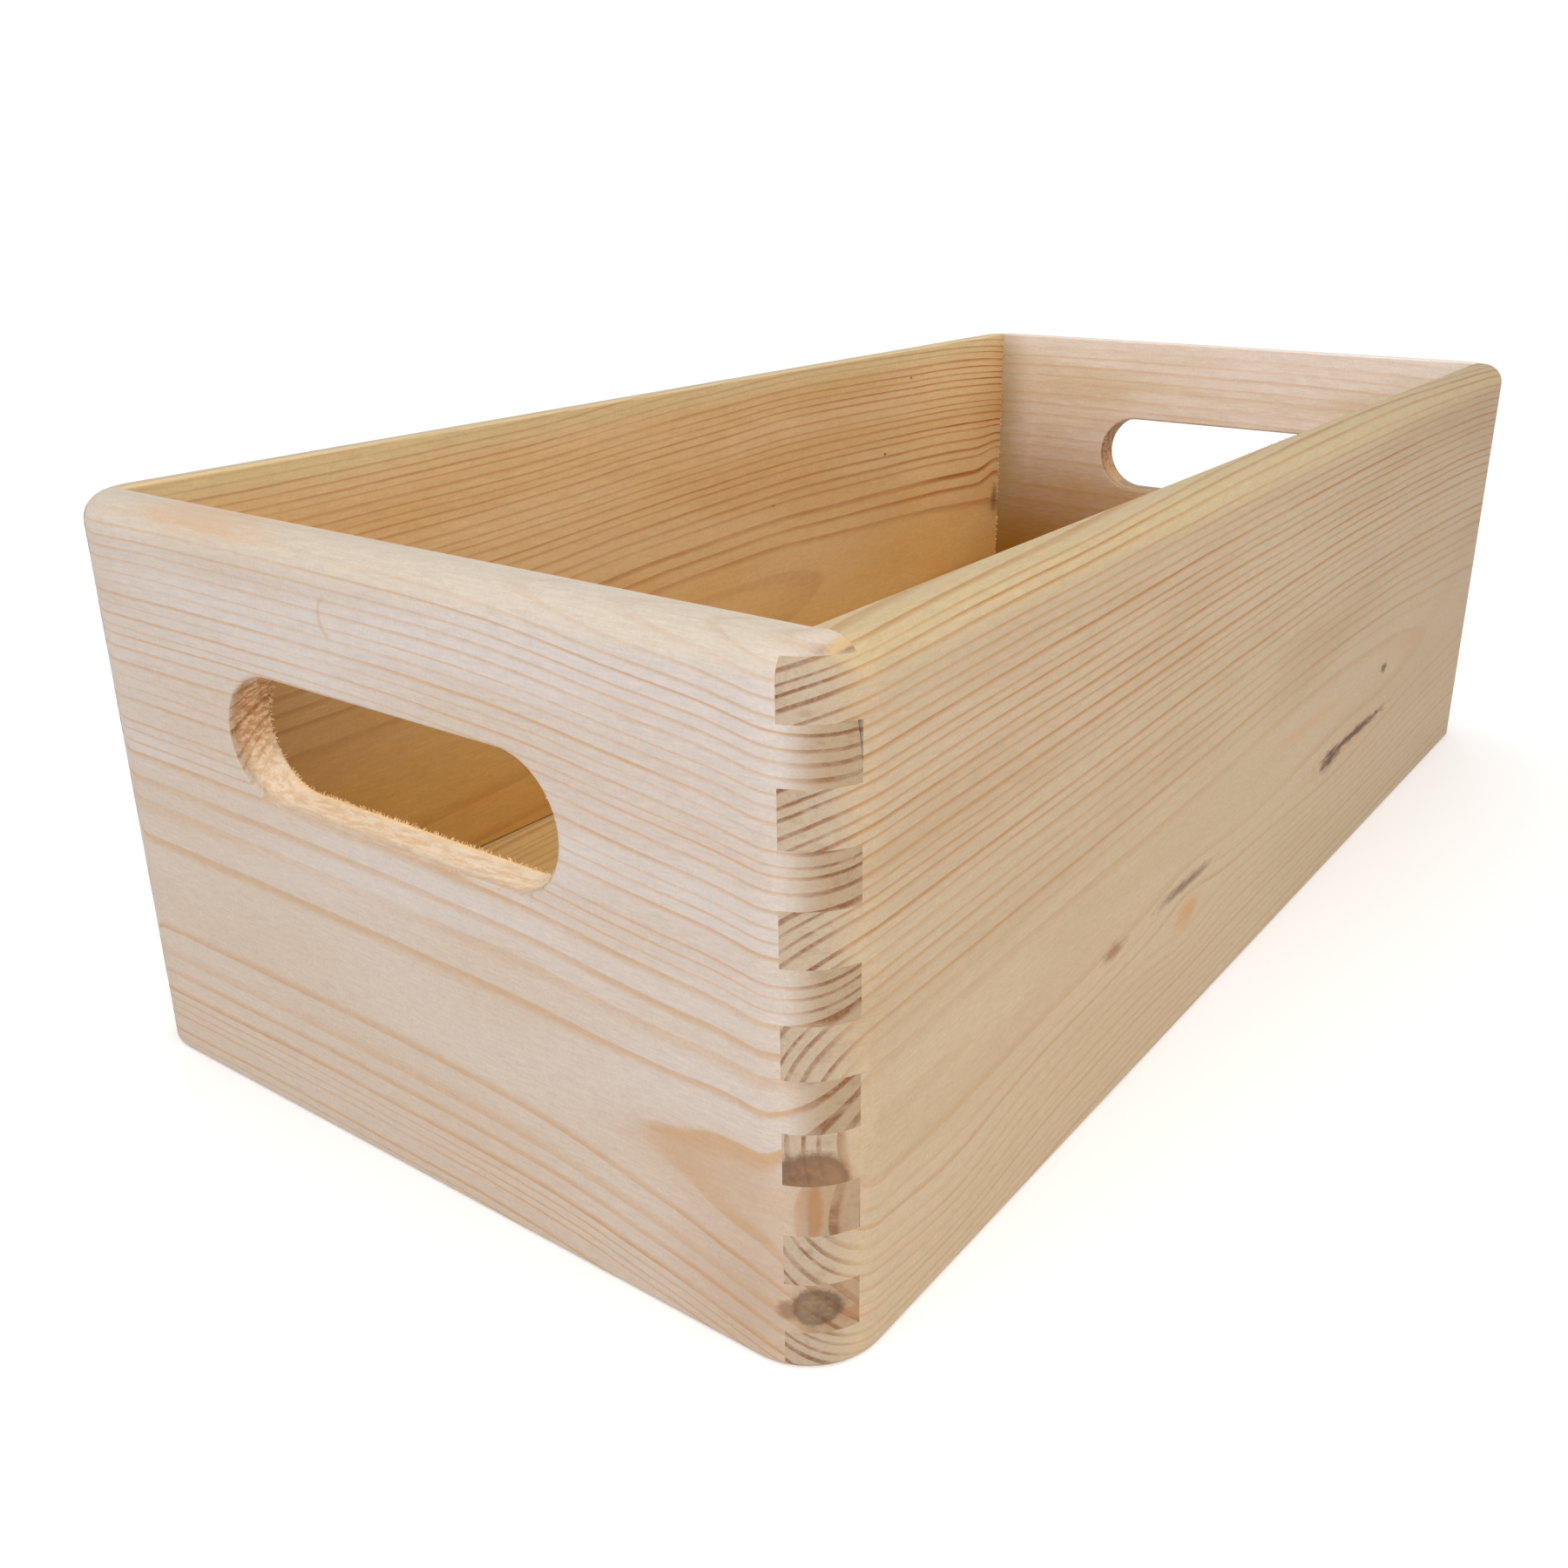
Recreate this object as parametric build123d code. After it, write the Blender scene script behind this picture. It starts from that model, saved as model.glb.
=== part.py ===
"""Finger-jointed pine crate, open on top, with a hand slot in each end and a thin bottom held in grooves.

Millimetres, +Z up. The origin is on the floor, under the crate's centre. X runs along the two long
sides and Y along the two ends. Every board is its own solid and meets its neighbours face to face.
"""

import os

from build123d import *

# Outside of the crate
LENGTH = 400.0
WIDTH = 200.0
HEIGHT = 130.0
WALL = 10.0

# Edges, worked after the four boards are glued up
CORNER_RADIUS = 15.0
RIM_RADIUS = 6.0
RIM_INNER_RADIUS = 0.5
BASE_RADIUS = 0.8

# Finger joints. From the rim down: a thin end finger, then full fingers by turns, the last one cut short
FINGER = 10.0
TOP_FINGER = 2.5

# Chip out of one finger of the left end, at its joint with the front side: widest at the finger's top
CHIP_WIDTH = 0.9
CHIP_HEIGHT = 7.0
CHIP_LAYER = 2

# Hand slots in the ends
SLOT_LENGTH = 91.0
SLOT_HEIGHT = 27.0
SLOT_CENTRE_Z = 87.5
SLOT_OFFSET = 1.5  # to the left of the end board's middle, seen from outside the crate
SLOT_EDGE_RADIUS = 1.0

# Bottom panel, and the groove that it lies in, which is halfway into the walls
PANEL_THICKNESS = 4.0
PANEL_UNDERSIDE_Z = 9.5
PANEL_SIDE_GAP = 0.5
GROOVE_DEPTH = 5.0
GROOVE_PLAY = 0.5

INNER_LENGTH = LENGTH - 2 * WALL
INNER_WIDTH = WIDTH - 2 * WALL
GROUND = (Align.CENTER, Align.CENTER, Align.MIN)


def block(length, width, low, high, x=0.0, y=0.0):
    """A box that is centred on x and y, and reaches from height low to height high."""
    return Pos(x, y, low) * Box(length, width, high - low, align=GROUND)


def edges_at(shape, height):
    """The edges of a shape that lie flat at one height."""
    return shape.edges().filter_by_position(Axis.Z, height, height)


def envelope():
    """The crate's outside, filled: round corners, a roundover at the rim and a broken edge at the base."""
    body = block(LENGTH, WIDTH, 0, HEIGHT)
    body = fillet(body.edges().filter_by(Axis.Z), CORNER_RADIUS)
    body = fillet(edges_at(body, HEIGHT), RIM_RADIUS)
    return fillet(edges_at(body, 0), BASE_RADIUS)


def walls():
    """All four boards as one ring, with the inside of the rim eased and the groove for the bottom."""
    ring = envelope() - block(INNER_LENGTH, INNER_WIDTH, 0, HEIGHT)
    inner_rim = [
        edge
        for edge in edges_at(ring, HEIGHT)
        if abs(edge.center().X) < INNER_LENGTH / 2 + 0.1 and abs(edge.center().Y) < INNER_WIDTH / 2 + 0.1
    ]
    ring = fillet(inner_rim, RIM_INNER_RADIUS)
    groove_top = PANEL_UNDERSIDE_Z + PANEL_THICKNESS + GROOVE_PLAY
    groove = block(
        INNER_LENGTH + 2 * GROOVE_DEPTH,
        INNER_WIDTH + 2 * GROOVE_DEPTH,
        PANEL_UNDERSIDE_Z,
        groove_top,
    )
    return ring - groove


def finger_layers():
    """(low, high, owner) of each layer of a corner, from the rim down. The ends own the top layer."""
    layers = [(HEIGHT - TOP_FINGER, HEIGHT, "end")]
    owner = "side"
    while layers[-1][0] > 0:
        high = layers[-1][0]
        layers.append((max(high - FINGER, 0.0), high, owner))
        owner = "end" if owner == "side" else "side"
    return layers


def corner_blocks(owner):
    """The blocks of the four corners that belong to the ends or to the sides."""
    x = (LENGTH - WALL) / 2
    y = (WIDTH - WALL) / 2
    return [
        block(WALL, WALL, low, high, sx * x, sy * y)
        for low, high, name in finger_layers()
        if name == owner
        for sx in (-1, 1)
        for sy in (-1, 1)
    ]


def slot_centre_y(x):
    """Both ends are the same board, so the second one is the first turned half round."""
    return SLOT_OFFSET if x < 0 else -SLOT_OFFSET


def hand_slot(x):
    """The cutter for one hand slot: a long round-ended hole through the end board at x."""
    outline = Rot(0, 90, 0) * Rot(0, 0, 90) * SlotOverall(SLOT_LENGTH, SLOT_HEIGHT)
    return Pos(x, slot_centre_y(x), SLOT_CENTRE_Z) * extrude(outline, WALL, both=True)


def eased_slot(board, x):
    """Cuts the hand slot and rounds its edges on both faces of the board."""
    board = board - hand_slot(x)
    rims = [
        edge
        for edge in board.edges()
        if abs(edge.center().Y - slot_centre_y(x)) < SLOT_LENGTH / 2 + 1
        and abs(edge.center().Z - SLOT_CENTRE_Z) < SLOT_HEIGHT / 2 + 1
        and edge.bounding_box().size.X < 0.01
    ]
    return fillet(rims, SLOT_EDGE_RADIUS)


def end_board(ring, side):
    """The end at side -1 or 1: the ring's slab, less the layers that the long sides own."""
    x = side * (LENGTH - WALL) / 2
    board = ring & block(WALL, WIDTH, 0, HEIGHT, x=x)
    for cutter in corner_blocks("side"):
        board = board - cutter
    return eased_slot(board, x)


def side_board(ring, side):
    """The long side at side -1 or 1: the ring's slab, less the layers that the ends own."""
    board = ring & block(LENGTH, WALL, 0, HEIGHT, y=side * (WIDTH - WALL) / 2)
    for cutter in corner_blocks("end"):
        board = board - cutter
    return board


def finger_chip():
    """The splinter missing from a finger's inner arris: a wedge that tapers out downwards."""
    top = finger_layers()[CHIP_LAYER][1]
    root = -INNER_LENGTH / 2
    outline = Polyline(
        (root, 0, top),
        (root - CHIP_WIDTH, 0, top),
        (root, 0, top - CHIP_HEIGHT),
        close=True,
    )
    wedge = extrude(make_face(outline), WALL, dir=(0, -1, 0))
    return Pos(0, -INNER_WIDTH / 2, 0) * wedge


def bottom_panel():
    """The bottom lies on the grooves' lower faces, with a small gap all round and above."""
    reach = 2 * (GROOVE_DEPTH - PANEL_SIDE_GAP)
    return block(
        INNER_LENGTH + reach,
        INNER_WIDTH + reach,
        PANEL_UNDERSIDE_Z,
        PANEL_UNDERSIDE_Z + PANEL_THICKNESS,
    )


def main():
    ring = walls()
    nodes = {
        "left_end_panel": end_board(ring, -1) - finger_chip(),
        "right_end_panel": end_board(ring, 1),
        "front_side_panel": side_board(ring, -1),
        "rear_side_panel": side_board(ring, 1),
        "bottom_panel": bottom_panel(),
    }
    os.makedirs("parts", exist_ok=True)
    for name, shape in nodes.items():
        solids = shape.solids()
        print(name, len(solids), "solid", round(shape.volume), "mm3")
        export_step(solids[0], f"parts/{name}.step")


main()
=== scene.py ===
"""Looks for the wooden crate: pale bare pine, finger jointed, on a plain studio floor."""

import math
import random
from collections.abc import Sequence
from dataclasses import dataclass

import bpy
from mathutils import Matrix, Vector


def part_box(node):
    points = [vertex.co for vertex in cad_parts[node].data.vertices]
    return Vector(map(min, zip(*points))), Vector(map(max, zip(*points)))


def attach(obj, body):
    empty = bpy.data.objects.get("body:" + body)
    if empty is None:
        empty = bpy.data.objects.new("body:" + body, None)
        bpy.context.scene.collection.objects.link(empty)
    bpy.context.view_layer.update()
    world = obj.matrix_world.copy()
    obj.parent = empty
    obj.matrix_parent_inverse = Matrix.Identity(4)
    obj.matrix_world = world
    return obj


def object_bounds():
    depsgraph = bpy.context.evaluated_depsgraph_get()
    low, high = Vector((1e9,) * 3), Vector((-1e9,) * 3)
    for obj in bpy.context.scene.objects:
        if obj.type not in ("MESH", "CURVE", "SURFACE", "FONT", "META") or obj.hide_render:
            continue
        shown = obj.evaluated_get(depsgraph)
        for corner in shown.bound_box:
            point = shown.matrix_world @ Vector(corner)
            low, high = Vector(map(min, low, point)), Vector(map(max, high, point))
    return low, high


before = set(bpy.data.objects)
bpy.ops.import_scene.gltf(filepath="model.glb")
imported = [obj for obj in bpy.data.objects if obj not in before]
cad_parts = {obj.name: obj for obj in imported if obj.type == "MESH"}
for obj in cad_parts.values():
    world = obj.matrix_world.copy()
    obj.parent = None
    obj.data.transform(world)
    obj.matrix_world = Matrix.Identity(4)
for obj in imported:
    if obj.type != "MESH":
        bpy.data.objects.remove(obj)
cad_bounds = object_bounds()

MM = 0.001

near_low, near_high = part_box("left_end_panel")
far_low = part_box("right_end_panel")[0]
front_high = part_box("front_side_panel")[1]
rear_low, rear_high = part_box("rear_side_panel")


def in_mm(metres):
    return round(metres / MM, 3)


# The crate's outer and inner faces, in millimetres from its middle and its floor
OUTER_X = in_mm(cad_bounds[1][0])
INNER_X = in_mm(far_low[0])
INNER_Y = in_mm(rear_low[1])
HEIGHT = in_mm(cad_bounds[1][2])

# The hand slots, with the sizes that the CAD gives them
SLOT_LENGTH = 91.0 * MM
SLOT_HEIGHT = 27.0 * MM
SLOT_CENTRE_Z = 87.5 * MM
SLOT_OFFSET = 1.5 * MM
SLOT_EDGE_RADIUS = 1.0 * MM


# ---------------------------------------------------------------- node helpers
class Graph:
    """Builds a node tree from expressions: every value is a socket or a plain number."""

    def __init__(self, tree):
        self.tree = tree
        tree.nodes.clear()

    def node(self, kind, **settings):
        made = self.tree.nodes.new(kind)
        for name, value in settings.items():
            setattr(made, name, value)
        return made

    def plug(self, socket, value):
        if isinstance(value, bpy.types.NodeSocket):
            self.tree.links.new(value, socket)
        else:
            socket.default_value = value

    def math(self, operation, *values):
        made = self.node("ShaderNodeMath", operation=operation)
        for socket, value in zip(made.inputs, values):
            self.plug(socket, value)
        return made.outputs[0]

    def add(self, a, b):
        return self.math("ADD", a, b)

    def sub(self, a, b):
        return self.math("SUBTRACT", a, b)

    def mul(self, a, b):
        return self.math("MULTIPLY", a, b)

    def div(self, a, b):
        return self.math("DIVIDE", a, b)

    def square(self, a):
        return self.mul(a, a)

    def size(self, a):
        """A value without its sign."""
        return self.math("ABSOLUTE", a)

    def hypotenuse(self, a, b):
        return self.math("SQRT", self.add(self.square(a), self.square(b)))

    def total(self, first, *others):
        for value in others:
            first = self.add(first, value)
        return first

    def product(self, first, *others):
        for value in others:
            first = self.mul(first, value)
        return first

    def ramp(self, value, start, end, low=0.0, high=1.0, smooth=True):
        """Goes from low to high while value goes from start to end."""
        made = self.node("ShaderNodeMapRange", clamp=True)
        made.interpolation_type = "SMOOTHSTEP" if smooth else "LINEAR"
        for socket, item in zip(made.inputs, (value, start, end, low, high)):
            self.plug(socket, item)
        return made.outputs[0]

    def curve(self, value, points):
        """A smooth curve through a few (value, result) points, level beyond its ends."""
        xs = [x for x, _ in points]
        ys = [y for _, y in points]
        x0, x1 = xs[0], xs[-1]
        y0, y1 = min(ys), max(ys)
        span = (y1 - y0) or 1.0
        made = self.node("ShaderNodeFloatCurve")
        track = made.mapping.curves[0]
        while len(track.points) < len(points):
            track.points.new(0.5, 0.5)
        for handle, (x, y) in zip(track.points, points):
            handle.location = ((x - x0) / (x1 - x0), (y - y0) / span)
        made.mapping.update()
        self.plug(made.inputs["Value"], self.ramp(value, x0, x1, smooth=False))
        return self.ramp(made.outputs[0], 0.0, 1.0, y0, y1, smooth=False)

    def vector(self, x, y, z):
        made = self.node("ShaderNodeCombineXYZ")
        for socket, value in zip(made.inputs, (x, y, z)):
            self.plug(socket, value)
        return made.outputs[0]

    def split(self, vector):
        made = self.node("ShaderNodeSeparateXYZ")
        self.plug(made.inputs[0], vector)
        return made.outputs

    def noise(self, vector, detail=2.0, roughness=0.5, scale=1.0):
        """Soft noise from 0 to 1, centred on 0.5."""
        made = self.node("ShaderNodeTexNoise", noise_dimensions="3D")
        self.plug(made.inputs["Vector"], vector)
        made.inputs["Scale"].default_value = scale
        made.inputs["Detail"].default_value = detail
        made.inputs["Roughness"].default_value = roughness
        return made.outputs["Fac"]

    def noise_1d(self, value, seed):
        made = self.node("ShaderNodeTexNoise", noise_dimensions="1D")
        self.plug(made.inputs["W"], self.add(value, seed))
        made.inputs["Scale"].default_value = 1.0
        made.inputs["Detail"].default_value = 1.0
        return made.outputs["Fac"]

    def swing(self, noise, reach):
        """Turns a noise from 0 to 1 into a swing about nought."""
        return self.mul(self.sub(noise, 0.5), reach)

    def dice(self, value):
        """A random number from 0 to 1 for each whole value."""
        made = self.node("ShaderNodeTexWhiteNoise", noise_dimensions="1D")
        self.plug(made.inputs["W"], value)
        return made.outputs["Value"]

    def mix(self, factor, a, b, blend="MIX"):
        """Colour a with colour b mixed in, or multiplied in. The colours are the node's inputs 6 and 7."""
        made = self.node("ShaderNodeMix", data_type="RGBA", blend_type=blend)
        self.plug(made.inputs[0], factor)
        for socket, value in zip(made.inputs[6:8], (a, b)):
            if isinstance(value, tuple):
                value = (*value, 1.0)
            self.plug(socket, value)
        return made.outputs[2]


def new_finish(name):
    """A material with its shader in place, and the graph that its other nodes are made in."""
    material = bpy.data.materials.new(name)
    material.use_nodes = True
    g = Graph(material.node_tree)
    shader = g.node("ShaderNodeBsdfPrincipled")
    out = g.node("ShaderNodeOutputMaterial")
    g.plug(out.inputs[0], shader.outputs[0])
    return material, g, shader


def srgb(red, green, blue):
    """Linear colour from screen values of 0 to 255."""
    result = []
    for value in (red, green, blue):
        value = value / 255.0
        if value <= 0.04045:
            result.append(value / 12.92)
        else:
            result.append(((value + 0.055) / 1.055) ** 2.4)
    return tuple(result)


# ---------------------------------------------------------------- the wood
END_EARLY = srgb(172, 150, 126)
END_LATE = srgb(108, 62, 26)
KNOT_BROWN = srgb(74, 52, 34)
KNOT_RED = srgb(132, 92, 58)
KNOT_GREY = srgb(126, 100, 72)
RESIN = srgb(176, 126, 74)

ALL_ALONG = ((-200, 1.0), (200, 1.0))
BAR_START = 0.58

# How deep in a board, from its inner face, a tone begins and is full. INSIDE_SHADING places the painted
# light and shade of the crate's inside; INSIDE_LOW_TONE places the painted shade toward the bottom of an
# inner face, and where a slot's floor turns pale; OUTSIDE_TONE places the outer face's own tone on boards
# whose colours carry the painted light and shade of their inner face
INSIDE_SHADING = (2.5, 0.3)
INSIDE_LOW_TONE = (3.5, 0.5)
OUTSIDE_TONE = (0.5, 3.5)

# How deep a painted-shade mark on a board's inner face is still full, and gone, so that it stays off the
# outer face
SHADE_SKIN = (0.5, 2.0)

# Heights at which the tone of the band along the rim, and the tone toward the bottom, begin and are full. On
# the inner faces of the rear side and far end, the tone toward the bottom is painted shade
RIM = (HEIGHT - 9.0, HEIGHT - 2.0)
LOW_TONE_AND_SHADE = (95.0, 5.0)

# Where the routed look of a hand slot begins and is full, from above, from its sides and from outside
ROUTED_BELOW = (118.0, 112.0)
ROUTED_BESIDE = (60.0, 55.0)
ROUTED_INWARD = (OUTER_X - 0.2, OUTER_X - 3.5)

# Heights between which a slot's wall turns from fuzz into ripped end grain
RIPPED_ABOVE = (76.0, 88.0)

BUMP_HEIGHT = 0.2 * MM


def into(face, depths):
    """Places across a board, at depths from its inner face."""
    return tuple(face + math.copysign(depth, face) for depth in depths)


@dataclass
class Swerve:
    """Where the grain bends round a flaw: lift moves it, and push drives it away from the middle."""

    place: tuple
    size: tuple
    lift: float = 0.0
    push: float = 0.0


@dataclass
class Mark:
    """An oval of colour, frayed along the grain: some marks are stains, and some are painted shade.

    It is full inside core, a share of the oval's size. within limits it across the board: where it
    is still full, and where it is gone.
    """

    place: tuple
    size: tuple
    colour: tuple
    amount: float
    core: float = 0.4
    frayed: float = 1.0
    within: tuple = None


@dataclass
class Knot:
    """A mottled oval with a dark edge, paler on the side that is further along the board."""

    place: tuple
    size: tuple
    colour: tuple
    pale: tuple
    pale_side: float
    amount: float


@dataclass
class Dent:
    """Half of an oval ring, pressed into the face."""

    place: tuple
    size: tuple


@dataclass
class ShadingTint:
    """A tone that multiplies the board's own colour, for the light and shade inside the crate that is
    painted on: it warms the inner faces, or, on boards whose own colours carry that painted light and shade,
    takes the outer faces back to their own tone. across is where it begins and is full.
    """

    across: tuple
    colour: tuple
    on_rim: float = 0.0


@dataclass
class Board:
    """How one board was sawn from its log, and what its wood is like, in millimetres.

    grain is the axis along the log. pith_across and pith_up are the log's centre across the board
    and up it, as (along, place) points. rings are (radius, ring count) points. fade is the
    painted light and shade along the board: how much brighter or darker it is made from end to end.
    lines_along and lines_up are how strong its lines are.
    """

    grain: str
    pith_across: Sequence
    pith_up: Sequence
    rings: Sequence
    seed: float
    early: tuple  # the pale wood of spring
    late: tuple  # the dark line that ends each ring
    warm: tuple  # clouds in the pale wood
    rim: tuple = None
    low: tuple = None
    inside_low_shade: tuple = None
    end_early: tuple = END_EARLY
    end_late: tuple = END_LATE
    slot_cut: tuple = None
    flat: bool = False
    line_start: float = 0.55
    squeeze_below: float = 0.0
    soft_heart: float = 0.6
    heart_bar: float = BAR_START
    rim_rings: float = 1.0
    fade: Sequence = ALL_ALONG
    lines_along: Sequence = ALL_ALONG
    lines_up: Sequence = ALL_ALONG
    swerves: tuple = ()
    marks: tuple = ()
    knots: tuple = ()
    dents: tuple = ()
    shading_tint: ShadingTint = None

    def __post_init__(self):
        self.rim = self.rim or self.early
        self.low = self.low or self.warm


class Pine:
    """The node tree of one board's wood. Places are millimetres in the crate's own frame."""

    def __init__(self, name, board):
        self.material, self.g, self.shader = new_finish(name)
        self.board = board
        self.find_place()
        self.make_textures()
        self.grow_rings()
        colour = self.cut_along()
        colour = self.cut_across(colour)
        if board.slot_cut:
            colour = self.cut_slot(colour)
        colour = self.shaded(colour)
        if board.shading_tint:
            colour = self.shading_tinted(colour)
        colour = self.marked(colour)
        colour = self.knotted(colour)
        colour, hollow = self.dented(colour)
        self.surface(colour, hollow)

    def find_place(self):
        """Where a point is along, across and up the board, and which way its face looks."""
        g, board = self.g, self.board
        coords = g.node("ShaderNodeTexCoord")
        self.x, self.y, self.z = (g.div(out, MM) for out in g.split(coords.outputs["Object"]))
        facing = g.split(coords.outputs["Normal"])
        facing_x, facing_y = g.size(facing["X"]), g.size(facing["Y"])
        if board.grain == "X":
            self.along, self.across, end_facing, self.wide_facing = self.x, self.y, facing_x, facing_y
        else:
            self.along, self.across, end_facing, self.wide_facing = self.y, self.x, facing_y, facing_x
        self.up = self.z
        if board.flat:
            self.across, self.up = self.z, self.y
        self.end_grain = g.ramp(end_facing, 0.3, 0.78)
        self.rim = g.ramp(self.z, *RIM)

    def streaky(self, length, width, detail=2.0, roughness=0.5):
        """Noise drawn out along the grain."""
        g = self.g
        along = g.add(g.div(self.along, length), self.board.seed)
        return g.noise(g.vector(along, g.div(self.across, width), g.div(self.up, width)), detail, roughness)

    def grit(self, grains, detail, roughness):
        """Noise whose grains have their own size along X, Y and Z."""
        g = self.g
        place = (g.div(value, grain) for value, grain in zip((self.x, self.y, self.z), grains))
        return g.noise(g.vector(*place), detail, roughness)

    def oval(self, spot):
        """How many times the spot's size a point is from its centre."""
        g = self.g
        a = g.div(g.sub(self.along, spot.place[0]), spot.size[0])
        b = g.div(g.sub(self.up, spot.place[1]), spot.size[1])
        return g.hypotenuse(a, b)

    def make_textures(self):
        self.fibre = self.streaky(6.0, 0.28, 3.0, 0.6)
        self.canals = self.g.ramp(self.streaky(3.6, 0.2, 1.0), 0.64, 0.8)
        self.cloud = self.streaky(90.0, 18.0, 3.0, 0.55)
        self.nap = self.streaky(4.0, 0.8, 3.0, 0.65)
        self.speckle = self.grit((0.7, 0.7, 0.7), 3.0, 0.7)
        self.patches = self.grit((5.0, 5.0, 3.0), 3.0, 0.6)

    def swerved(self, height):
        """The grain bends round knots and resin."""
        g = self.g
        for swerve in self.board.swerves:
            near = g.math("EXPONENT", g.mul(g.square(self.oval(swerve)), -1.0))
            bend = g.add(g.mul(g.sub(self.up, swerve.place[1]), swerve.push), swerve.lift)
            height = g.sub(height, g.mul(near, bend))
        return height

    def grow_rings(self):
        """Rings round the pith: phase goes from 0 to 1 over each ring, and dark is its line."""
        g, board = self.g, self.board
        wander = g.swing(self.streaky(170.0, 60.0), 3.0)
        ripple = g.swing(self.streaky(28.0, 9.0, 1.0), 0.45)
        height = self.swerved(g.add(self.up, g.add(wander, ripple)))
        above = g.sub(height, g.curve(self.along, board.pith_up))
        self.above = g.add(above, g.mul(g.math("MINIMUM", above, 0.0), board.squeeze_below))
        behind = g.sub(self.across, g.curve(self.along, board.pith_across))
        radius = g.hypotenuse(self.above, behind)
        uneven = g.swing(g.noise_1d(g.div(radius, 5.0), board.seed), 0.9)
        count = g.add(g.curve(radius, board.rings), uneven)
        ring = g.math("FLOOR", count)
        self.phase = g.sub(count, ring)
        self.dice = g.dice(g.add(ring, board.seed))
        self.late_end = g.ramp(self.phase, 0.95, 1.0, 1.0, 0.0)
        strength = g.product(
            g.ramp(self.dice, 0.0, 1.0, 0.45, 1.0, smooth=False),
            g.ramp(g.size(self.above), 4.0, 22.0, board.soft_heart, 1.0),
            g.ramp(self.rim, 0.2, 1.0, 1.0, board.rim_rings),
            g.ramp(self.streaky(60.0, 6.0), 0.3, 0.6, 0.55, 1.0),
            g.mul(g.curve(self.along, board.lines_along), g.curve(self.up, board.lines_up)),
        )
        self.dark = g.product(g.ramp(self.phase, board.line_start, 0.9), self.late_end, strength)

    def cut_along(self):
        """The board's faces: cloudy pale wood with the rings as lines, and resin canals."""
        g, board = self.g, self.board
        colour = g.mix(g.ramp(self.cloud, 0.35, 0.68), board.early, board.warm)
        # Toward the bottom the colour turns to the board's low tone. Where it is kept to the inner face, on
        # the rear side and far end, it is painted shade.
        lower = g.ramp(self.z, *LOW_TONE_AND_SHADE, 0.0, 0.7)
        if board.inside_low_shade:
            lower = g.mul(lower, g.ramp(self.across, *board.inside_low_shade))
        colour = g.mix(lower, colour, board.low)
        colour = g.mix(g.mul(self.rim, 0.75), colour, board.rim)
        colour = g.mix(g.mul(self.dark, g.ramp(self.fibre, 0.3, 0.7, 0.7, 1.0)), colour, board.late)
        return g.mix(g.mul(self.canals, 0.2), colour, board.late)

    def cut_across(self, colour):
        """Sawn across, the late wood reads as brown bars."""
        g, board = self.g, self.board
        start = g.ramp(g.size(self.above), 6.0, 26.0, board.heart_bar, BAR_START)
        self.bar = g.product(
            g.ramp(self.phase, start, g.add(start, 0.2)),
            self.late_end,
            g.ramp(self.dice, 0.0, 1.0, 0.65, 1.0, smooth=False),
            g.ramp(self.speckle, 0.35, 0.6, 0.7, 1.0),
            g.ramp(self.patches, 0.34, 0.56, 0.4, 1.0),
        )
        sawn = g.mix(g.ramp(self.nap, 0.4, 0.75, 0.0, 0.25), board.end_early, board.end_late)
        sawn = g.mix(g.ramp(self.patches, 0.5, 0.78, 0.0, 0.35), sawn, board.end_late)
        sawn = g.mix(self.bar, sawn, board.end_late)
        return g.mix(self.end_grain, colour, sawn)

    def cut_slot(self, colour):
        """The hand slot is routed, so its floor is fuzzy, and the end grain in its arcs is ripped."""
        g, board = self.g, self.board
        pale, middle, deep = board.slot_cut
        from_middle = g.size(self.x)
        torn = self.grit((1.6, 4.5, 0.9), 4.0, 0.7)
        fuzz = g.mix(g.ramp(torn, 0.4, 0.62), pale, middle)
        fuzz = g.mix(g.ramp(from_middle, *into(INNER_X, INSIDE_LOW_TONE), 0.0, 0.6), fuzz, pale)
        ripped = g.mix(g.ramp(torn, 0.38, 0.6), middle, deep)
        ripped = g.mix(g.mul(self.bar, 0.6), ripped, board.end_late)
        fuzz = g.mix(g.mul(self.end_grain, g.ramp(self.z, *RIPPED_ABOVE)), fuzz, ripped)
        routed = g.product(
            g.ramp(self.wide_facing, 0.8, 0.45),
            g.ramp(self.z, *ROUTED_BELOW),
            g.ramp(g.size(self.y), *ROUTED_BESIDE),
            g.ramp(from_middle, *ROUTED_INWARD, 0.25, 1.0),
        )
        return g.mix(g.mul(routed, 0.9), colour, fuzz)

    def shaded(self, colour):
        """Fine light and dark of fibre, nap and speckle, and painted light and shade along the board."""
        g = self.g
        shade = g.product(
            g.ramp(self.fibre, 0.25, 0.75, 0.93, 1.05, smooth=False),
            g.ramp(self.nap, 0.25, 0.75, 0.93, 1.07, smooth=False),
            g.ramp(self.speckle, 0.25, 0.75, 0.94, 1.06, smooth=False),
            g.curve(self.along, self.board.fade),
        )
        return g.mix(1.0, colour, g.vector(shade, shade, shade), "MULTIPLY")

    def shading_tinted(self, colour):
        """The painted shading tint leaves end grain as it is."""
        g, shading_tint = self.g, self.board.shading_tint
        reach = g.product(
            g.ramp(self.across, *shading_tint.across),
            g.ramp(self.rim, 0.0, 1.0, 1.0, shading_tint.on_rim),
            g.sub(1.0, self.end_grain),
        )
        return g.mix(reach, colour, shading_tint.colour, "MULTIPLY")

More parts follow.
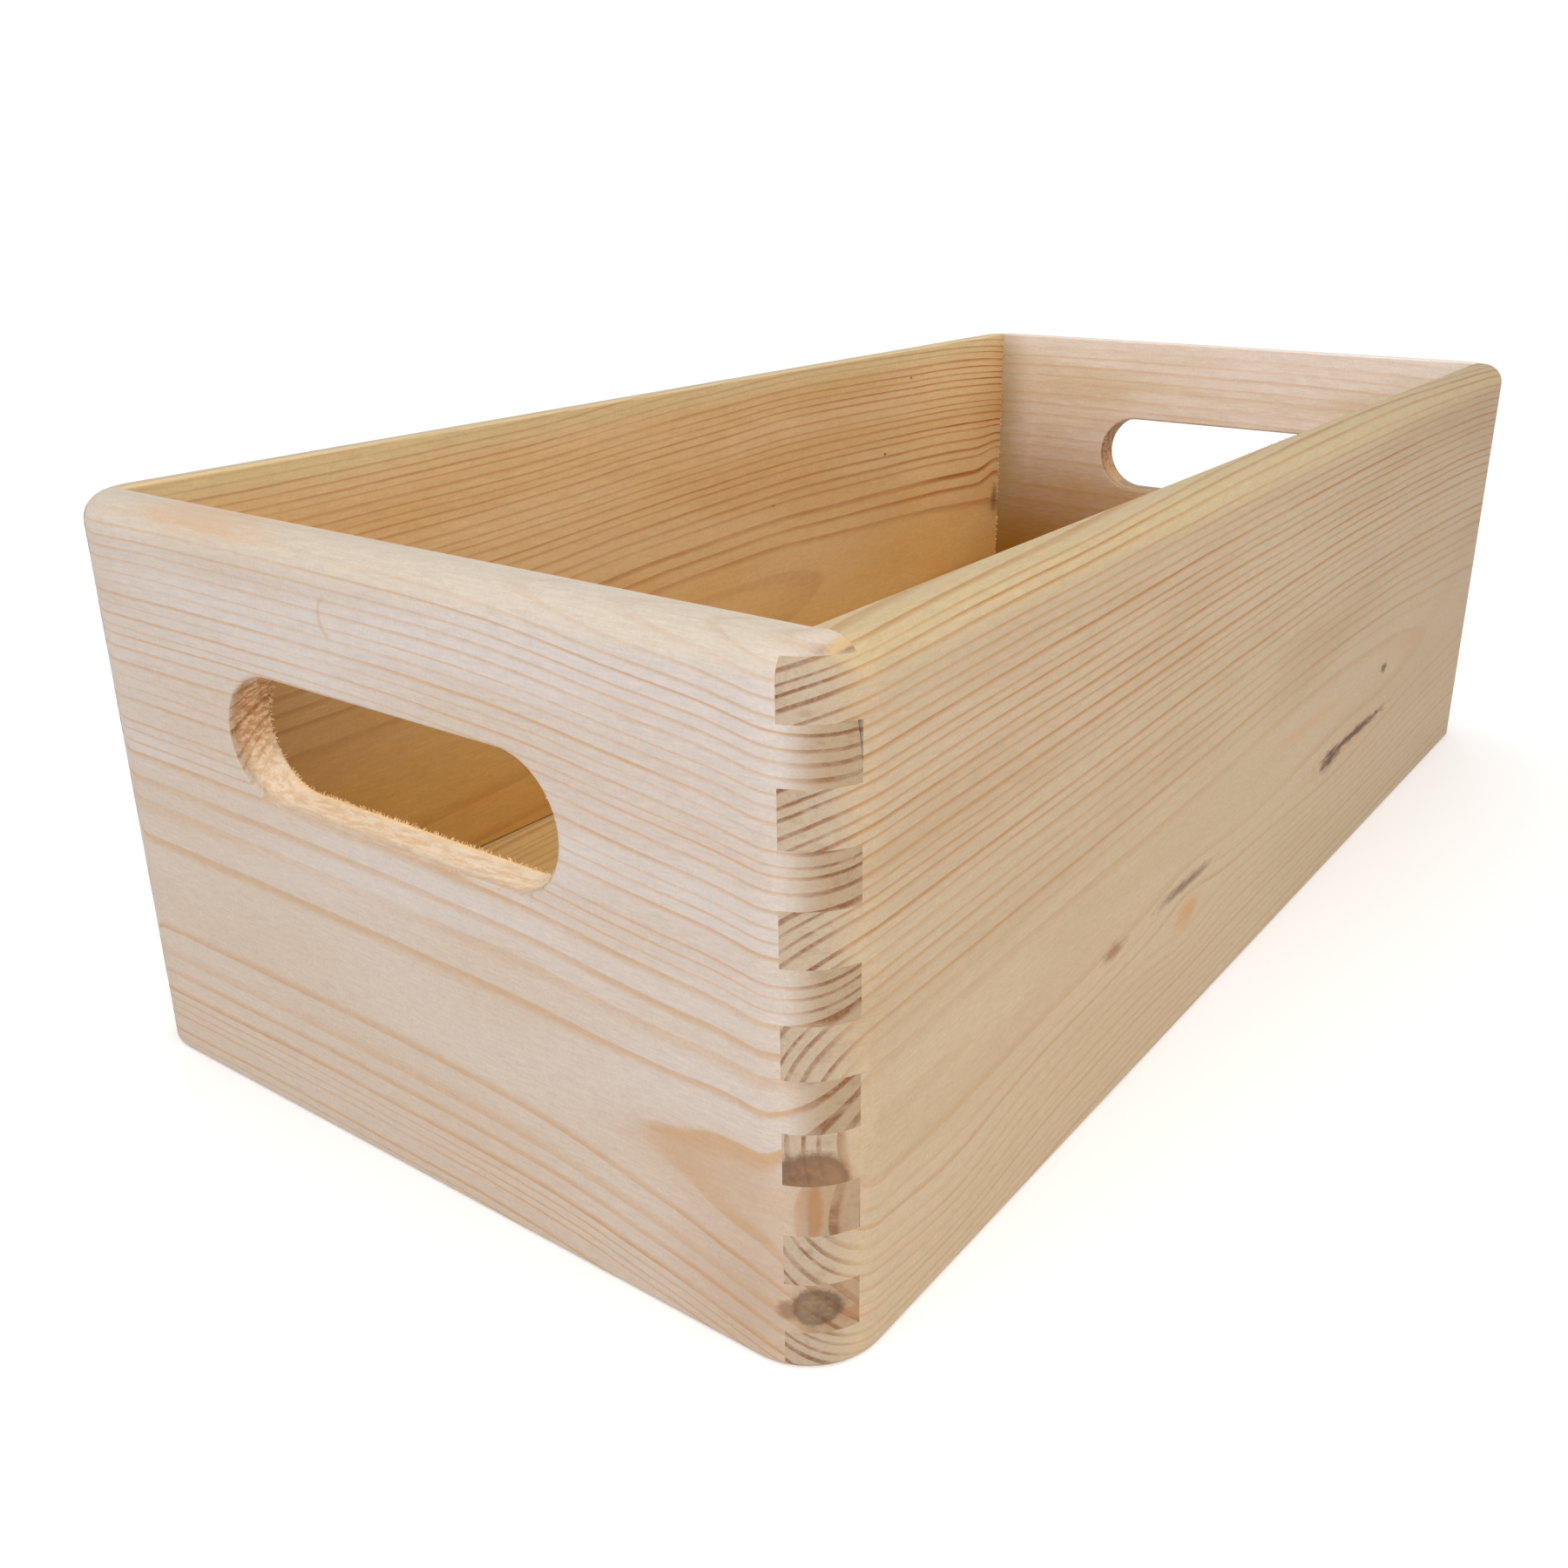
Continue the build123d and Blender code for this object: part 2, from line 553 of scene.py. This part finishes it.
    def marked(self, colour):
        """Resin streaks, splits and smudges, and patches of painted shade."""
        g = self.g
        ragged = g.swing(self.streaky(5.0, 0.9, 3.0), 1.3)
        for mark in self.board.marks:
            reach = g.add(self.oval(mark), g.mul(ragged, mark.frayed))
            inside = g.ramp(reach, 1.0, mark.core)
            if mark.within:
                inside = g.mul(inside, g.ramp(self.across, *mark.within, 1.0, 0.0))
            colour = g.mix(g.mul(inside, mark.amount), colour, mark.colour)
        return colour

    def knotted(self, colour):
        g = self.g
        for knot in self.board.knots:
            reach = g.total(self.oval(knot), g.swing(self.cloud, 0.5), g.swing(self.speckle, 0.25))
            mottle = self.grit((1.5, 1.5, 1.1), 4.0, 0.7)
            side = g.ramp(self.along, knot.place[0] - knot.size[0], knot.place[0] + knot.size[0])
            heart = g.mix(g.mul(side, knot.pale_side), knot.colour, knot.pale)
            heart = g.mix(g.ramp(mottle, 0.4, 0.62, 0.0, 0.6), heart, knot.pale)
            edge = g.mul(g.ramp(reach, 0.55, 0.78), g.ramp(reach, 0.8, 1.02, 1.0, 0.0))
            heart = g.mix(g.mul(edge, 0.6), heart, knot.colour)
            inside = g.ramp(reach, 1.1, 0.8)
            colour = g.mix(g.mul(inside, knot.amount), colour, heart)
        return colour

    def dented(self, colour):
        """Darkens the dents, and gives how hollow the face is for the bump."""
        g = self.g
        hollow = 0.0
        for dent in self.board.dents:
            off_line = g.size(g.sub(self.oval(dent), 1.0))
            one_half = g.ramp(self.along, dent.place[0] - 0.8, dent.place[0] + 0.8)
            band = g.mul(g.ramp(off_line, 0.05, 0.3, 1.0, 0.0), one_half)
            hollow = g.add(hollow, band)
            colour = g.mix(g.mul(band, 0.35), colour, self.board.late)
        return colour, hollow

    def surface(self, colour, hollow):
        g, shader = self.g, self.shader
        g.plug(shader.inputs["Base Color"], colour)
        g.plug(shader.inputs["Roughness"], g.ramp(self.fibre, 0.2, 0.8, 0.52, 0.7))
        shader.inputs["Specular IOR Level"].default_value = 0.25
        bump = g.node("ShaderNodeBump")
        bump.inputs["Strength"].default_value = 0.4
        bump.inputs["Distance"].default_value = BUMP_HEIGHT
        rough_cut = g.mul(g.mul(self.speckle, self.end_grain), 0.8)
        relief = g.total(g.mul(self.fibre, 0.5), g.mul(self.dark, 0.2), rough_cut, g.mul(hollow, -0.8))
        g.plug(bump.inputs["Height"], relief)
        g.plug(shader.inputs["Normal"], bump.outputs[0])


# ---------------------------------------------------------------- the five boards
near_end = Board(
    "Y",
    pith_across=[(-100, -167.6), (-80, -167.0), (-66, -166.0), (-20, -164.9), (100, -164.8)],
    pith_up=[(-100, 29.0), (-80, 34.0), (-60, 36.8), (-20, 40.8), (100, 42.5)],
    rings=[(20, -3.8), (34.5, 0.0), (37.2, 0.95), (47, 3.9), (53, 6.6), (66, 11.8), (76, 16.6), (110, 31.5)],
    seed=3.0,
    squeeze_below=0.18,
    soft_heart=0.8,
    rim_rings=0.3,
    line_start=0.64,
    lines_along=[(-100, 1.4), (-70, 1.15), (0, 1.0), (100, 1.0)],
    lines_up=[(0, 1.05), (50, 0.86), (95, 0.78), (130, 1.1)],
    # Painted light and shade: the near end's inner face is made warmer, for the warm bounced light inside
    # the crate.
    shading_tint=ShadingTint(into(-INNER_X, INSIDE_SHADING), (1.18, 0.98, 0.62)),
    early=srgb(183, 172, 165),
    late=srgb(170, 132, 88),
    warm=srgb(178, 162, 148),
    low=srgb(178, 158, 138),
    rim=srgb(190, 176, 158),
    slot_cut=(srgb(222, 203, 176), srgb(212, 178, 140), srgb(174, 126, 82)),
    end_early=srgb(155, 133, 106),
    heart_bar=0.42,
    dents=(Dent((11, 117), (2.4, 3.6)),),
    knots=(Knot((-94.6, 13), (3.4, 4.2), KNOT_BROWN, KNOT_GREY, 0.5, 0.75),),
    marks=(
        Mark((-99, 10.5), (2.2, 2.0), srgb(150, 104, 66), 0.7),
        Mark((-90.6, 12.0), (2.4, 2.6), srgb(92, 64, 44), 0.75, frayed=0.6),
        Mark((-94.6, 32.5), (1.4, 8.0), srgb(146, 100, 60), 0.8, frayed=0.3),
        Mark((52, 129.0), (32, 3.4), srgb(190, 148, 108), 0.5, core=0.1),
        # Painted shade: darker and warmer toward the bottom of the near corner.
        Mark((-86, 14), (30, 28), srgb(156, 120, 86), 0.4, core=0.0, frayed=0.1),
        Mark((-78, 36), (34, 10), srgb(166, 126, 88), 0.4, core=0.0, frayed=0.2),
        Mark((-96.2, 129.0), (1.6, 2.2), srgb(190, 160, 116), 0.8),
        Mark((-99.6, 128.6), (2.4, 2.4), srgb(184, 164, 128), 1.0),
    ),
)
front_side = Board(
    "X",
    pith_across=[
        (-200, -123.7),
        (-126, -124.05),
        (-60, -124.5),
        (22, -124.0),
        (70, -124.5),
        (128, -126.4),
        (200, -128.5),
    ],
    pith_up=[(-200, 45.0), (-126, 48.0), (0, 51.5), (128, 52.0), (200, 49.0)],
    rings=[(14, -4.6), (24, 0.0), (26.4, 1.0), (40, 7.0), (60, 16.0), (110, 39.5)],
    seed=17.0,
    soft_heart=0.45,
    rim_rings=0.8,
    lines_up=[(0, 0.5), (45, 0.46), (75, 0.8), (95, 1.1), (130, 1.2)],
    # Painted light and shade: the front side's inner face is made warmer and a little lighter, for the warm
    # bounced light inside the crate.
    shading_tint=ShadingTint(into(-INNER_Y, INSIDE_SHADING), (1.2, 1.08, 0.86)),
    early=srgb(172, 150, 121),
    late=srgb(152, 102, 40),
    warm=srgb(165, 140, 108),
    low=srgb(180, 157, 127),
    rim=srgb(182, 160, 120),
    end_early=srgb(166, 148, 126),
    # Painted light: the front side is made darker toward its far end, as less light reaches it there.
    fade=((-200, 1.0), (-100, 1.0), (60, 0.94), (200, 0.87)),
    swerves=(
        Swerve((48, 37), (44, 10), push=0.7),
        Swerve((-56, 30), (18, 10), push=0.8),
        Swerve((-160, 16), (26, 16), lift=-5.0),
    ),
    knots=(Knot((-196, 38), (4.6, 6.4), srgb(94, 70, 50), KNOT_RED, 0.9, 0.9),),
    marks=(
        Mark((22, 53.5), (42, 3.4), RESIN, 0.3, core=0.0),
        Mark((114, 54.0), (18, 5.0), RESIN, 0.3, core=0.0),
        Mark((60, 37.3), (44, 4.0), RESIN, 0.35),
        Mark((66, 37.7), (40, 1.9), KNOT_BROWN, 0.95, core=0.2),
        Mark((44, 36.4), (11, 3.8), KNOT_BROWN, 0.9, core=0.2),
        Mark((-58, 38.4), (22, 2.0), srgb(100, 72, 48), 0.75, core=0.1),
        Mark((-96, 37.6), (8, 2.6), srgb(132, 92, 56), 0.8, core=0.1),
        Mark((-56, 30), (10, 5.0), RESIN, 0.7, core=0.1),
        Mark((88, 51.6), (4.0, 1.7), KNOT_BROWN, 0.8),
    ),
)
rear_side = Board(
    "X",
    pith_across=[(-200, 50.0), (0, 49.1), (94, 47.4), (150, 46.8), (200, 46.2)],
    pith_up=[(-200, 46.0), (-100, 48.0), (0, 54.0), (94, 57.0), (200, 50.0)],
    rings=[(20, -9.0), (40, 0.0), (60, 8.6), (110, 33.0)],
    seed=29.0,
    squeeze_below=-0.4,
    rim_rings=0.6,
    line_start=0.6,
    lines_along=[(-200, 0.95), (0, 1.05), (100, 1.3), (150, 1.8), (200, 1.9)],
    lines_up=[(0, 0.42), (55, 0.5), (80, 0.72), (130, 0.78)],
    # The rear side's own colours carry the warm painted shade of its inner face; this tint takes its outer
    # face back to its own tone.
    shading_tint=ShadingTint(into(INNER_Y, OUTSIDE_TONE), (0.69, 0.8, 1.1), on_rim=0.7),
    early=srgb(210, 176, 129),
    late=srgb(158, 92, 26),
    warm=srgb(204, 164, 110),
    # Painted shade: the rear side's inner face turns darker and more orange toward the bottom.
    low=srgb(208, 154, 60),
    inside_low_shade=into(INNER_Y, INSIDE_LOW_TONE),
    rim=srgb(206, 184, 138),
    # Painted light: the rear side is made brighter toward its far end.
    fade=((-200, 0.96), (0, 0.96), (100, 0.98), (150, 1.08), (200, 1.08)),
    swerves=(Swerve((188, 64), (10, 18), push=0.6),),
    marks=(
        Mark((187, 64), (4.0, 8.0), srgb(90, 62, 40), 0.7, core=0.0),
        Mark((104, 94.4), (1.3, 0.7), KNOT_BROWN, 0.7, frayed=0.3),
        Mark((121, 120), (1.1, 0.7), KNOT_BROWN, 0.6, frayed=0.3),
        Mark((36, 87), (1.0, 0.6), KNOT_BROWN, 0.5, frayed=0.3),
    ),
)
far_shade_skin = into(INNER_X, SHADE_SKIN)
far_end = Board(
    "Y",
    pith_across=[(-100, 128.0), (0, 130.0), (100, 133.0)],
    pith_up=[(-100, 30.0), (0, 34.0), (100, 30.0)],
    rings=[(30, -8.0), (60, 0.0), (160, 34.0)],
    seed=41.0,
    rim_rings=0.5,
    lines_up=[(0, 0.55), (130, 0.6)],
    # The far end's own colours carry the painted light and shade of its inner face; this tint takes its
    # outer face back to its own, darker tone.
    shading_tint=ShadingTint(into(INNER_X, OUTSIDE_TONE), (0.62, 0.64, 0.72), on_rim=0.4),
    early=srgb(229, 216, 206),
    late=srgb(206, 164, 118),
    warm=srgb(214, 194, 166),
    # Painted shade: the far end's inner face turns darker and more orange toward the bottom.
    low=srgb(206, 164, 104),
    inside_low_shade=into(INNER_X, INSIDE_LOW_TONE),
    slot_cut=(srgb(206, 170, 124), srgb(190, 142, 90), srgb(150, 98, 56)),
    marks=(
        # Painted shade: the far end's inner face darkens and warms toward its bottom.
        Mark((80, 20), (190, 102), srgb(140, 96, 30), 1.0, core=0.2, frayed=0.1, within=far_shade_skin),
        # Painted shade: the far end's inner face is darker toward its inner corner with the rear side.
        Mark((91, 96), (17, 60), srgb(150, 128, 74), 0.7, core=0.0, frayed=0.1, within=far_shade_skin),
    ),
)
base_panel = Board(
    "X",
    pith_across=[(-200, -30.0), (0, -32.0), (200, -36.0)],
    pith_up=[(-200, -10.0), (0, 0.0), (200, 14.0)],
    rings=[(20, -6.0), (40, 0.0), (130, 30.0)],
    seed=53.0,
    early=srgb(220, 188, 130),
    late=srgb(180, 130, 76),
    warm=srgb(210, 172, 112),
    flat=True,
)

FINISHES = {
    "left_end_panel": near_end,
    "front_side_panel": front_side,
    "rear_side_panel": rear_side,
    "right_end_panel": far_end,
    "bottom_panel": base_panel,
}
for node_name, board in FINISHES.items():
    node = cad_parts[node_name]
    node.data.materials.clear()
    node.data.materials.append(Pine("pine_" + node_name, board).material)

# ---------------------------------------------------------------- torn fibres
SLOT_RADIUS = SLOT_HEIGHT / 2
SLOT_STRAIGHT = SLOT_LENGTH - SLOT_HEIGHT
SLOT_ARC_END = 2.2  # how far round each arc, in radians from the slot's floor, fibres still stand

FIBRE_SEED = 11
FIBRE_SIDES = 3
FIBRE_SUNK = 0.25 * MM


def fibre_finish():
    material, g, shader = new_finish("pine_fibre")
    coords = g.node("ShaderNodeTexCoord")
    tone = g.noise(coords.outputs["Object"], scale=700.0)
    colour = g.mix(g.ramp(tone, 0.35, 0.65), srgb(222, 196, 154), srgb(196, 156, 108))
    g.plug(shader.inputs["Base Color"], colour)
    g.plug(shader.inputs["Roughness"], g.ramp(tone, 0.3, 0.7, 0.7, 0.9))
    return material


def fibre_corners(place, direction, length, thick):
    """A short spike: a ring of corners at its sunk root, one at its middle, and its bent tip."""
    direction = direction.normalized()
    across = direction.orthogonal().normalized()
    beside = direction.cross(across)
    bend = (across * random.uniform(-0.5, 0.5) + beside * random.uniform(-0.5, 0.5)) * length * 0.5
    width = random.uniform(0.06, 0.13) * MM * thick
    root = place - direction * FIBRE_SUNK
    middle = place + direction * length * 0.5
    corners = []
    for ring_centre, size in ((root, width), (middle, width * 0.75)):
        for step in range(FIBRE_SIDES):
            angle = 2.0 * math.pi * step / FIBRE_SIDES
            corners.append(ring_centre + (across * math.cos(angle) + beside * math.sin(angle)) * size)
    return corners + [place + direction * length + bend]


def fibre_faces(first):
    """The faces of a spike whose corners are counted from first. Its root is closed."""
    tip = first + 2 * FIBRE_SIDES
    faces = [tuple(reversed(range(first, first + FIBRE_SIDES)))]
    for step in range(FIBRE_SIDES):
        a, b = first + step, first + (step + 1) % FIBRE_SIDES
        faces.append((a, b, b + FIBRE_SIDES, a + FIBRE_SIDES))
        faces.append((a + FIBRE_SIDES, b + FIBRE_SIDES, tip))
    return faces


def torn_fibres(name, roots, finish, thick=1.0):
    """One piece of many torn fibres. roots are (place, direction, length)."""
    verts, faces = [], []
    for place, direction, length in roots:
        faces += fibre_faces(len(verts))
        verts += fibre_corners(place, direction, length, thick)
    mesh = bpy.data.meshes.new(name)
    mesh.from_pydata(verts, [], faces)
    mesh.materials.append(finish)
    piece = bpy.data.objects.new(name, mesh)
    bpy.context.scene.collection.objects.link(piece)
    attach(piece, "root")


def slot_roots(face_x, inward, count, shortest, longest):
    """Roots along a hand slot's floor and up its arcs, on the eased edge of the face at face_x."""
    roots = []
    centre_y = SLOT_OFFSET if face_x < 0.0 else -SLOT_OFFSET
    for _ in range(count):
        walk = random.uniform(-0.45, 1.45) * SLOT_STRAIGHT
        if walk < 0.0 or walk > SLOT_STRAIGHT:
            side = -1.0 if walk < 0.0 else 1.0
            over = -walk if walk < 0.0 else walk - SLOT_STRAIGHT
            turn = min(over / SLOT_RADIUS, SLOT_ARC_END)
            outward = Vector((0.0, side * math.sin(turn), -math.cos(turn)))
            middle_y = centre_y + side * SLOT_STRAIGHT / 2
        else:
            outward = Vector((0.0, 0.0, -1.0))
            middle_y = centre_y + walk - SLOT_STRAIGHT / 2
        ease = random.uniform(0.0, 0.9)
        reach = SLOT_RADIUS + SLOT_EDGE_RADIUS * (1.0 - math.cos(ease))
        depth = SLOT_EDGE_RADIUS * (1.0 - math.sin(ease))
        place = Vector((face_x - inward * depth, middle_y, SLOT_CENTRE_Z)) + outward * reach
        lean = Vector((inward * math.sin(ease), random.uniform(-0.9, 0.9), 0.0)) - outward * math.cos(ease)
        roots.append((place, lean, random.uniform(shortest, longest) * MM))
    return roots


def rim_roots(count):
    """Roots along the inner edge of the front side's rim."""
    roots = []
    for _ in range(count):
        along = random.uniform(-0.1, 0.92) * front_high[0]
        place = Vector((along, front_high[1] - random.uniform(0.1, 0.5) * MM, front_high[2] - 0.3 * MM))
        lean = Vector((random.uniform(-1.2, 1.2), random.uniform(0.1, 0.7), 0.7))
        roots.append((place, lean, random.uniform(0.2, 0.8) * MM))
    return roots


def corner_roots(count):
    """Roots up the inner corner between the rear side and the far end."""
    roots = []
    for _ in range(count):
        place = Vector((far_low[0] - 0.1 * MM, rear_low[1], random.uniform(0.3, 0.97) * rear_high[2]))
        lean = Vector((-0.25, -1.0, random.uniform(-0.7, 0.7)))
        roots.append((place, lean, random.uniform(0.4, 1.3) * MM))
    return roots


random.seed(FIBRE_SEED)
fibres = fibre_finish()
near_inside = slot_roots(near_high[0], 1.0, 420, 0.25, 1.0)
torn_fibres("near_slot_inner_fibres", near_inside, fibres)
near_outside = slot_roots(near_low[0], -1.0, 90, 0.15, 0.45)
torn_fibres("near_slot_outer_fibres", near_outside, fibres)
far_inside = slot_roots(far_low[0], -1.0, 220, 0.2, 0.8)
torn_fibres("far_slot_inner_fibres", far_inside, fibres)
torn_fibres("front_rim_fibres", rim_roots(90), fibres)
torn_fibres("rear_corner_fibres", corner_roots(70), fibres, thick=3.0)

# ---------------------------------------------------------------- studio
FLOOR_SIZE = 30.0
FLOOR_GAP = 0.2 * MM
FLOOR_WHITE = (0.955, 0.955, 0.955, 1.0)
SKY_WHITE = (1.0, 1.0, 1.0, 1.0)
SKY_STRENGTH = 1.06

KEY_FROM_CENTRE = Vector((-0.75, -0.6, 0.6))
KEY_AIM_FROM_CENTRE = Vector((-0.1, 0.0, 0.0))
KEY_SIZE = 0.5
KEY_WATTS = 5.0

CAMERA_HEADING = 36.048
CAMERA_PITCH = -21.296
CAMERA_ROLL = -0.359
CAMERA_FROM_CENTRE = Vector((-0.35986, -0.21343, 0.12661))
CAMERA_LENS = 34.454
CAMERA_SENSOR = 36.0
CAMERA_SHIFT = (-0.01765, -0.01818)

low, high = (Vector(corner) for corner in cad_bounds)
centre = (low + high) / 2


def make_floor():
    bpy.ops.mesh.primitive_plane_add(size=FLOOR_SIZE, location=(centre.x, centre.y, low.z - FLOOR_GAP))
    floor = bpy.context.object
    floor.name = "studio_floor"
    paper, _, shader = new_finish("studio_paper")
    shader.inputs["Base Color"].default_value = FLOOR_WHITE
    shader.inputs["Roughness"].default_value = 0.9
    shader.inputs["Specular IOR Level"].default_value = 0.0
    floor.data.materials.append(paper)
    return floor


def make_sky():
    world = bpy.data.worlds.new("studio_world")
    world.use_nodes = True
    background = world.node_tree.nodes["Background"]
    background.inputs["Color"].default_value = SKY_WHITE
    background.inputs["Strength"].default_value = SKY_STRENGTH
    bpy.context.scene.world = world


def make_key_light():
    light = bpy.data.lights.new("key", "AREA")
    light.shape = "RECTANGLE"
    light.size = light.size_y = KEY_SIZE
    light.energy = KEY_WATTS
    key = bpy.data.objects.new("key", light)
    key.location = centre + KEY_FROM_CENTRE
    key.rotation_euler = (KEY_AIM_FROM_CENTRE - KEY_FROM_CENTRE).to_track_quat("-Z", "Y").to_euler()
    bpy.context.scene.collection.objects.link(key)


def make_camera():
    camera_data = bpy.data.cameras.new("camera")
    camera_data.lens = CAMERA_LENS
    camera_data.sensor_width = CAMERA_SENSOR
    camera_data.shift_x, camera_data.shift_y = CAMERA_SHIFT
    camera_data.clip_start = 0.01
    camera = bpy.data.objects.new("camera", camera_data)
    turn = Matrix.Rotation(math.radians(CAMERA_HEADING - 90.0), 4, "Z")
    tilt = Matrix.Rotation(math.radians(90.0 + CAMERA_PITCH), 4, "X")
    roll = Matrix.Rotation(math.radians(CAMERA_ROLL), 4, "Z")
    camera.matrix_world = Matrix.Translation(centre + CAMERA_FROM_CENTRE) @ turn @ tilt @ roll
    bpy.context.scene.collection.objects.link(camera)
    return camera


make_floor()
make_sky()
make_key_light()
bpy.context.scene.camera = make_camera()
bpy.context.scene.view_settings.view_transform = "Standard"

bpy.context.view_layer.update()
